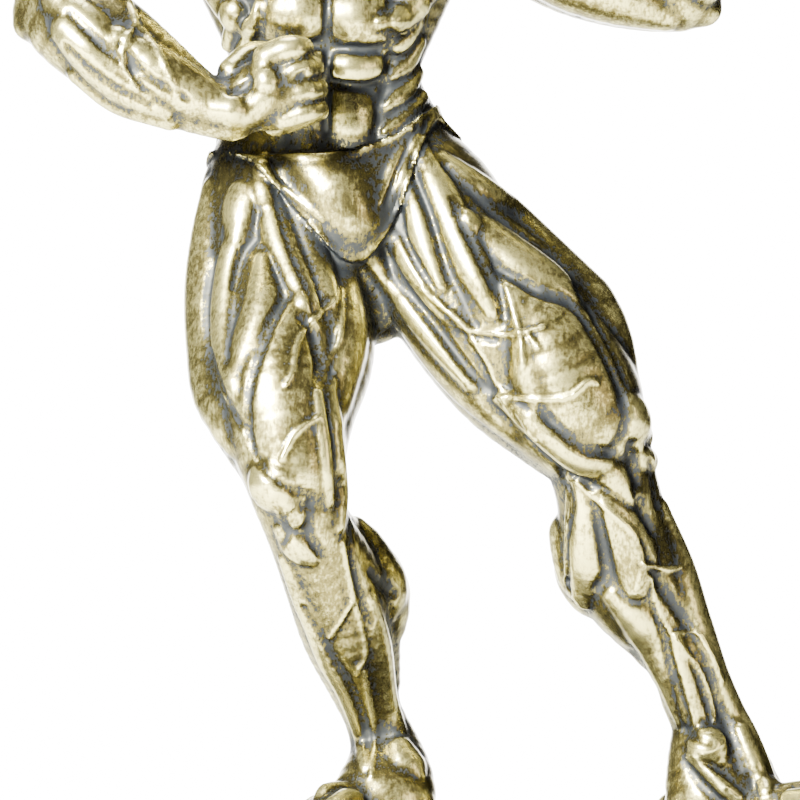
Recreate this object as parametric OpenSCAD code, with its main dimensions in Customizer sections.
// Figure trophy: a muscular standing figure, cast in pinned sections, bolted to a two-tier plinth.
// Millimetres. +Z is up, the figure faces -Y, and the origin is the centre of the underside.

/* [Figure] */
// Size of the figure, as a share of its usual 337 mm from sole to crown
figure_size = 1; // [0.95:0.01:1.05]
// Clearance that the adhesive fills around each dowel
glue_gap = 0.1; // [0.05:0.05:0.2]

/* [Plinth] */
// Length of the lower board
plinth_l = 204; // [200:2:230]
// Depth of the lower board
plinth_d = 116; // [112:2:140]
// Thickness of the lower board
board_t = 12; // [10:1:16]
// Height of the upper block
block_h = 26; // [20:1:34]
// How far the upper block is set in from the lower board
block_inset = 8; // [6:1:10]
// Thickness of the felt underneath
felt_t = 2; // [1:0.5:3]

/* [Fixings] */
// Diameter of the studs in the feet
stud_d = 5; // [4:1:6]
// Diameter of the shoulder, hip and neck dowels
dowel_d = 5; // [4:1:6]

/* [Name plate] */
// Length of the blank name plate
plate_l = 84; // [60:2:100]
// Height of the blank name plate
plate_h = 17; // [14:1:18]

/* [Hidden] */
$fn = 48;
sides = 28;                                  // corners of each casting's cross-section
rings = 3;                                   // rings from one station to the next
board_z = felt_t;
block_z = board_z + board_t;
ground_z = block_z + block_h;                // the soles stand here
far = 400;                                   // reach of a cutting block
chamfer = 2.5;                               // on the top edges of the plinth
corner_r = 6;                                // of the plinth in plan

// Stations of the castings: [x, y, z above the ground, half width, half depth]
torso_stations = [
    [-53, 3, 142, 7, 13], [-55, 2, 150, 21, 20], [-58, 1, 164, 31, 24], [-60, 0, 178, 31, 23],
    [-62, -3, 192, 27, 20], [-63, -3, 204, 27, 20], [-63, -2, 222, 35, 23], [-63, 0, 240, 44, 27],
    [-62, 2, 256, 47, 27], [-62, 4, 268, 42, 22], [-62, 6, 278, 26, 16], [-62, 6, 290, 13, 13]
];
glute_stations = [[-74, 14, 172, 9, 8], [-73, 15, 163, 14, 13], [-71, 12, 150, 12, 12], [-70, 8, 144, 7, 7]];
other_glute_stations = [
    [-43, 15, 174, 9, 8], [-42, 16, 164, 14, 13], [-40, 13, 151, 12, 12], [-39, 9, 145, 7, 7]
];
right_leg_stations = [
    [-77, 3, 187, 9, 12], [-79, 3, 176, 16, 21], [-79, 1, 160, 20, 24], [-76, -7, 140, 24, 25],
    [-74, -16, 126, 25, 25], [-75, -25, 112, 22, 22], [-72, -33, 98, 15, 17], [-69, -37, 85, 13, 14],
    [-64, -33, 74, 13, 14], [-59, -22, 61, 16, 17], [-58, -15, 50, 13, 14], [-54, -7, 36, 10, 11],
    [-49, -1, 23, 8, 9], [-47, 2, 14, 9, 10], [-46, 4, 7, 9, 9], [-46, 4, 1, 8, 8]
];
left_leg_stations = [
    [-45, 4, 181, 8, 13], [-40, 4, 174, 15, 21], [-35, 2, 164, 20, 24], [-27, -3, 146, 25, 26],
    [-11, -9, 125, 25, 25], [1, -12, 110, 20, 20], [9, -13, 100, 16, 17], [11, -12, 88, 16, 15],
    [15, -8, 72, 18, 16], [21, -6, 60, 17, 16], [28, -5, 51, 12, 13], [34, -4, 38, 10, 11],
    [40, -3, 25, 9, 9], [43, -3, 13, 9, 9], [42, -3, 4, 9, 8]
];
// Stations of a foot, from the heel: [length along it, half width, half height, height of the middle]
foot_stations = [
    [0, 4, 4, 5], [4, 8, 8, 7], [13, 9, 11, 9], [25, 9, 9, 7], [37, 11, 6, 4], [47, 11, 5, 3], [54, 8, 3, 2]
];
right_upper_arm_stations = [
    [-88, 3, 278, 10, 10], [-99, 1, 270, 16, 16], [-109, -5, 258, 17, 17], [-119, -13, 244, 15, 16],
    [-129, -22, 231, 12, 12], [-135, -27, 222, 11, 11], [-138, -28, 216, 6, 6]
];
right_forearm_stations = [
    [-138, -27, 224, 7, 7], [-133, -29, 218, 13, 12], [-125, -33, 211, 15, 13], [-112, -37, 201, 13, 12],
    [-101, -39, 193, 10, 9], [-92, -41, 190, 8, 8]
];
right_fist_stations = [
    [-94, -41, 190, 7, 7], [-87, -41, 190, 9, 9], [-79, -41, 192, 13, 11], [-71, -41, 195, 13, 11],
    [-64, -40, 197, 7, 7]
];
left_upper_arm_stations = [
    [-36, 4, 270, 9, 9], [-24, 4, 263, 17, 17], [-12, 3, 250, 18, 18], [3, 1, 237, 18, 17],
    [17, -1, 229, 15, 14], [29, -2, 223, 11, 11], [35, -3, 221, 7, 7]
];
left_forearm_stations = [
    [31, -2, 215, 5, 5], [33, -3, 222, 12, 12], [36, -5, 236, 14, 13], [35, -7, 249, 12, 12],
    [32, -8, 261, 9, 9], [30, -9, 271, 8, 7]
];
left_fist_stations = [
    [30, -9, 268, 7, 7], [29, -9, 275, 9, 8], [28, -10, 284, 12, 11], [27, -10, 292, 11, 11],
    [26, -11, 299, 7, 7]
];
head_stations = [
    [-62, 7, 277, 13, 13], [-62, 6, 287, 12, 13], [-61, 4, 294, 12, 15], [-61, 1, 302, 13, 18],
    [-61, 0, 312, 15, 20], [-61, 1, 322, 15, 20], [-61, 2, 330, 13, 16], [-61, 3, 335, 7, 9]
];

// Where the sections meet: [point on the joint face, direction out of the torso]
crotch = [-52.2, 0, 145];
right_hip_face = [crotch, [-0.76, 0, -0.65]];
left_hip_face = [crotch, [0.93, 0, -0.37]];
right_shoulder_face = [[-97, 0, 266], [-0.94, 0, 0.34]];
left_shoulder_face = [[-27, 0, 262], [0.95, 0, 0.31]];
neck_face = [[-62, 0, 284], [0, 0, 1]];
between_legs = [crotch, [0.98, 0, 0.19]];

// Dowels: [middle on the joint face, direction, length]
neck_pin = [[-62, 6, 284], neck_face[1], 18];
right_shoulder_pin = [[-97, 1, 266], right_shoulder_face[1], 20];
left_shoulder_pin = [[-27, 4, 262], left_shoulder_face[1], 20];
right_hip_pins = [for (y = [-7, 9]) [[-71.2, y, 167.2], right_hip_face[1], 22]];
left_hip_pins = [for (y = [-7, 9]) [[-43.5, y, 166.9], left_hip_face[1], 22]];

// Feet: [heel, turn outwards from straight ahead] and the stud under each ankle
right_heel = [-40, 15, 0];
right_turn = -30;
left_heel = [29, 7, 0];
left_turn = 55;
right_stud_at = [-46, 4];
left_stud_at = [42, -3];
stud_up = 24;                                // how far a stud reaches into the leg
stud_down = ground_z - felt_t - 3;           // and below the soles
well_d = 15;                                 // counterbore for the nut
well_h = 9;
nut_h = 4;
nut_across = 8;
washer_t = 1;
lock_t = 1.2;
screw_d = 4;
screw_head_d = 8;
screw_l = 28;
screw_in = [78, 38];                         // the screws' places either side of the middle
plate_t = 1.2;
pin_d = 1.6;
pin_l = 7;

// ---- Shape helpers ----
function unit(v) = v / norm(v);
function spline(a, b, c, d, t) =
    0.5 * (2 * b + (c - a) * t + (2 * a - 5 * b + 4 * c - d) * t * t + (3 * b - a - 3 * c + d) * t * t * t);
function smooth(s) = [
    for (i = [0 : len(s) - 2], k = [0 : rings - 1])
        spline(s[max(i - 1, 0)], s[i], s[i + 1], s[min(i + 2, len(s) - 1)], k / rings),
    s[len(s) - 1]
];
function place(s) = [s[0], s[1], s[2]];
function along(s, i) = unit(place(s[min(i + 1, len(s) - 1)]) - place(s[max(i - 1, 0)]));
// One ring: an ellipse square to the path, its width square to the direction "deep"
function ring(s, i, deep) =
    let (t = along(s, i), u = unit(cross(deep, t)), v = cross(t, u))
    [for (k = [0 : sides - 1])
        place(s[i]) + u * s[i][3] * cos(360 * k / sides) + v * s[i][4] * sin(360 * k / sides)];

// A closed skin through the rings of a list of stations
module loft(stations, deep = [0, 1, 0]) {
    s = smooth(stations);
    n = len(s);
    points = [for (i = [0 : n - 1]) each ring(s, i, deep)];
    walls = [
        for (i = [0 : n - 2], k = [0 : sides - 1])
            let (a = i * sides + k, b = i * sides + (k + 1) % sides)
            each [[a, a + sides, b], [b, a + sides, b + sides]]
    ];
    ends = [[for (k = [0 : sides - 1]) k], [for (k = [0 : sides - 1]) n * sides - 1 - k]];
    polyhedron(points, concat(walls, ends));
}

// Lays +Z along a direction
module aim(direction) {
    d = unit(direction);
    rotate([0, acos(d[2]), atan2(d[1], d[0])]) children();
}

// All the space on the far side of a joint face
module beyond(face) {
    translate(face[0]) aim(face[1]) translate([-far / 2, -far / 2, 0]) cube(far);
}

// And on its near side
module before(face) {
    translate(face[0]) aim(face[1]) translate([-far / 2, -far / 2, -far]) cube(far);
}

// A round bar centred on a joint face
module bar(pin, d, extra = 0) {
    translate(pin[0]) aim(pin[1]) cylinder(d = d, h = pin[2] + extra, center = true);
}

// One mesh from several lofts, at their own size
module cast() {
    resize([0, 0, 0]) union() children();
}

// The figure's own frame: its soles on the plinth
module figure() {
    translate([0, 0, ground_z]) scale(figure_size) children();
}

module foot(heel, turn) {
    ahead = [sin(turn), -cos(turn), 0];
    difference() {
        loft([for (f = foot_stations) concat(heel + ahead * f[0] + [0, 0, f[3]], [f[1], f[2]])], [0, 0, -1]);
        translate([-far / 2, -far / 2, -far]) cube(far);
    }
}

// A rectangle with round corners
module plan(l, d, r) {
    square([l - 2 * r, d], center = true);
    square([l, d - 2 * r], center = true);
    for (x = [-1, 1], y = [-1, 1]) translate([x * (l / 2 - r), y * (d / 2 - r)]) circle(r);
}

// A board with a chamfered top edge, in exact flat and round faces
module board(l, d, h, r) {
    hull() {
        for (x = [-1, 1], y = [-1, 1]) {
            translate([x * (l / 2 - r), y * (d / 2 - r), 0]) {
                cylinder(r = r, h = h - chamfer, $fn = 32);
                cylinder(r = r - chamfer, h = h, $fn = 32);
            }
        }
    }
}

module at_studs() {
    for (p = [right_stud_at, left_stud_at]) translate([p[0] * figure_size, p[1] * figure_size, 0]) children();
}

module at_screws() {
    for (x = [-1, 1], y = [-1, 1]) translate([x * screw_in[0], y * screw_in[1], board_z]) children();
}

// ---- Castings ----
module torso_casting() {
    color("darkkhaki") figure() difference() {
        cast() difference() {
            union() {
                loft(torso_stations);
                loft(glute_stations);
                loft(other_glute_stations);
                loft(right_upper_arm_stations);
                loft(left_upper_arm_stations);
                loft(right_leg_stations);
                loft(left_leg_stations);
            }
            beyond(right_hip_face);
            beyond(left_hip_face);
            beyond(right_shoulder_face);
            beyond(left_shoulder_face);
            beyond(neck_face);
        }
        bar(neck_pin, dowel_d + 2 * glue_gap, 1);
        bar(right_shoulder_pin, dowel_d + 2 * glue_gap, 1);
        bar(left_shoulder_pin, dowel_d + 2 * glue_gap, 1);
        for (p = concat(right_hip_pins, left_hip_pins)) bar(p, dowel_d + 2 * glue_gap, 1);
    }
}

module head_casting() {
    color("darkkhaki") figure() difference() {
        cast() difference() {
            loft(head_stations);
            before(neck_face);
        }
        bar(neck_pin, dowel_d + 2 * glue_gap, 1);
    }
}

module right_arm_casting() {
    color("darkkhaki") figure() difference() {
        cast() {
            difference() {
                union() {
                    loft(right_upper_arm_stations);
                    intersection() {
                        loft(torso_stations);
                        translate([-120, -30, 240]) cube([40, 60, 50]);
                    }
                }
                before(right_shoulder_face);
            }
            loft(right_forearm_stations);
            loft(right_fist_stations);
        }
        bar(right_shoulder_pin, dowel_d + 2 * glue_gap, 1);
    }
}

module left_arm_casting() {
    color("darkkhaki") figure() difference() {
        cast() {
            difference() {
                union() {
                    loft(left_upper_arm_stations);
                    intersection() {
                        loft(torso_stations);
                        translate([-40, -30, 236]) cube([40, 60, 50]);
                    }
                }
                before(left_shoulder_face);
            }
            loft(left_forearm_stations);
            loft(left_fist_stations);
        }
        bar(left_shoulder_pin, dowel_d + 2 * glue_gap, 1);
    }
}

// One leg: its own lofts and whatever of the hips lies beyond its joint face
module leg_casting(stations, hip_face, pins, heel, turn, stud_at) {
    difference() {
        cast() {
            difference() {
                union() {
                    loft(stations);
                    loft(torso_stations);
                    loft(glute_stations);
                    loft(other_glute_stations);
                }
                before(hip_face);
                if (turn < 0) beyond(between_legs);
                else before(between_legs);
                translate([-far / 2, -far / 2, -far]) cube(far);
                translate([-far / 2, -far / 2, 200]) cube(far);
            }
            foot(heel, turn);
        }
        for (p = pins) bar(p, dowel_d + 2 * glue_gap, 1);
        translate([stud_at[0], stud_at[1], -1]) cylinder(d = stud_d, h = stud_up + 1);
    }
}

module right_leg_casting() {
    color("darkkhaki") figure()
        leg_casting(right_leg_stations, right_hip_face, right_hip_pins, right_heel, right_turn, right_stud_at);
}

module left_leg_casting() {
    color("darkkhaki") figure()
        leg_casting(left_leg_stations, left_hip_face, left_hip_pins, left_heel, left_turn, left_stud_at);
}

// ---- Dowels and studs ----
module neck_dowel() {
    color("silver") figure() bar(neck_pin, dowel_d);
}

module right_shoulder_dowel() {
    color("silver") figure() bar(right_shoulder_pin, dowel_d);
}

module left_shoulder_dowel() {
    color("silver") figure() bar(left_shoulder_pin, dowel_d);
}

module right_hip_dowels() {
    color("silver") figure() for (p = right_hip_pins) bar(p, dowel_d);
}

module left_hip_dowels() {
    color("silver") figure() for (p = left_hip_pins) bar(p, dowel_d);
}

module stud(at) {
    translate([at[0] * figure_size, at[1] * figure_size, ground_z - stud_down])
        cylinder(d = stud_d, h = stud_down + stud_up * figure_size);
}

module right_foot_stud() {
    color("silver") stud(right_stud_at);
}

module left_foot_stud() {
    color("silver") stud(left_stud_at);
}

// ---- Plinth ----
module plinth_block() {
    color("black") difference() {
        translate([0, 0, block_z])
            board(plinth_l - 2 * block_inset, plinth_d - 2 * block_inset, block_h, corner_r);
        at_studs() translate([0, 0, block_z - 1]) cylinder(d = stud_d + 0.5, h = block_h + 2);
        at_screws() translate([0, 0, board_t - 1]) cylinder(d = screw_d, h = screw_l - board_t + 4);
        at_plate_pins() translate([0, 0, -pin_l]) cylinder(d = pin_d, h = pin_l + 1);
    }
}

module plinth_board() {
    color("black") difference() {
        translate([0, 0, board_z]) board(plinth_l, plinth_d, board_t, corner_r + 2);
        at_studs() {
            translate([0, 0, board_z - 1]) cylinder(d = well_d, h = well_h + 1);
            translate([0, 0, board_z]) cylinder(d = stud_d + 0.5, h = board_t + 1);
        }
        at_screws() {
            translate([0, 0, -1]) cylinder(d = screw_head_d + 1, h = 4);
            translate([0, 0, -1]) cylinder(d = screw_d + 0.5, h = board_t + 2);
        }
    }
}

// Countersunk-flat wood screws, up through the board into the block
module plinth_screws() {
    color("silver") at_screws() {
        translate([0, 0, 0.5]) cylinder(d = screw_head_d, h = 2.5);
        translate([0, 0, 2.9]) cylinder(d = screw_d, h = screw_l - 2.9);
    }
}

module plate_place() {
    front = -(plinth_d / 2 - block_inset);
    translate([0, front, block_z + (block_h - chamfer) / 2]) rotate([90, 0, 0]) children();
}

module at_plate_pins() {
    plate_place() for (x = [-1, 1]) translate([x * (plate_l / 2 - 4), 0, 0]) children();
}

module name_plate() {
    color("gold") difference() {
        plate_place() linear_extrude(plate_t) plan(plate_l, plate_h, 2);
        at_plate_pins() translate([0, 0, -1]) cylinder(d = pin_d, h = plate_t + 2);
    }
}

// Escutcheon pins: a shank pressed into the block and a low dished head
module name_plate_pins() {
    color("gold") at_plate_pins() {
        translate([0, 0, -pin_l]) cylinder(d = pin_d, h = pin_l + plate_t + 0.1);
        translate([0, 0, plate_t]) cylinder(d1 = 2 * pin_d, d2 = 1.2 * pin_d, h = 0.8);
    }
}

// ---- Fixings in the wells ----
module stud_washers() {
    color("silver") at_studs() translate([0, 0, board_z + well_h - washer_t]) difference() {
        cylinder(d = 12, h = washer_t);
        translate([0, 0, -1]) cylinder(d = stud_d + 0.4, h = washer_t + 2);
    }
}

module stud_lock_washers() {
    color("silver") at_studs() translate([0, 0, board_z + well_h - washer_t - lock_t]) difference() {
        cylinder(d = 9, h = lock_t);
        translate([0, 0, -1]) cylinder(d = stud_d + 0.2, h = lock_t + 2);
        translate([0, -0.5, -1]) cube([6, 1, lock_t + 2]);
    }
}

module stud_nuts() {
    color("silver") at_studs() translate([0, 0, board_z + well_h - washer_t - lock_t - nut_h]) difference() {
        cylinder(d = nut_across / cos(30), h = nut_h, $fn = 6);
        translate([0, 0, -1]) cylinder(d = stud_d, h = nut_h + 2);
    }
}

module base_felt() {
    color("darkgreen") linear_extrude(felt_t) plan(plinth_l - 5, plinth_d - 5, corner_r);
}

torso_casting();
head_casting();
right_arm_casting();
left_arm_casting();
right_leg_casting();
left_leg_casting();
neck_dowel();
right_shoulder_dowel();
left_shoulder_dowel();
right_hip_dowels();
left_hip_dowels();
right_foot_stud();
left_foot_stud();
plinth_block();
plinth_board();
plinth_screws();
name_plate();
name_plate_pins();
stud_washers();
stud_lock_washers();
stud_nuts();
base_felt();
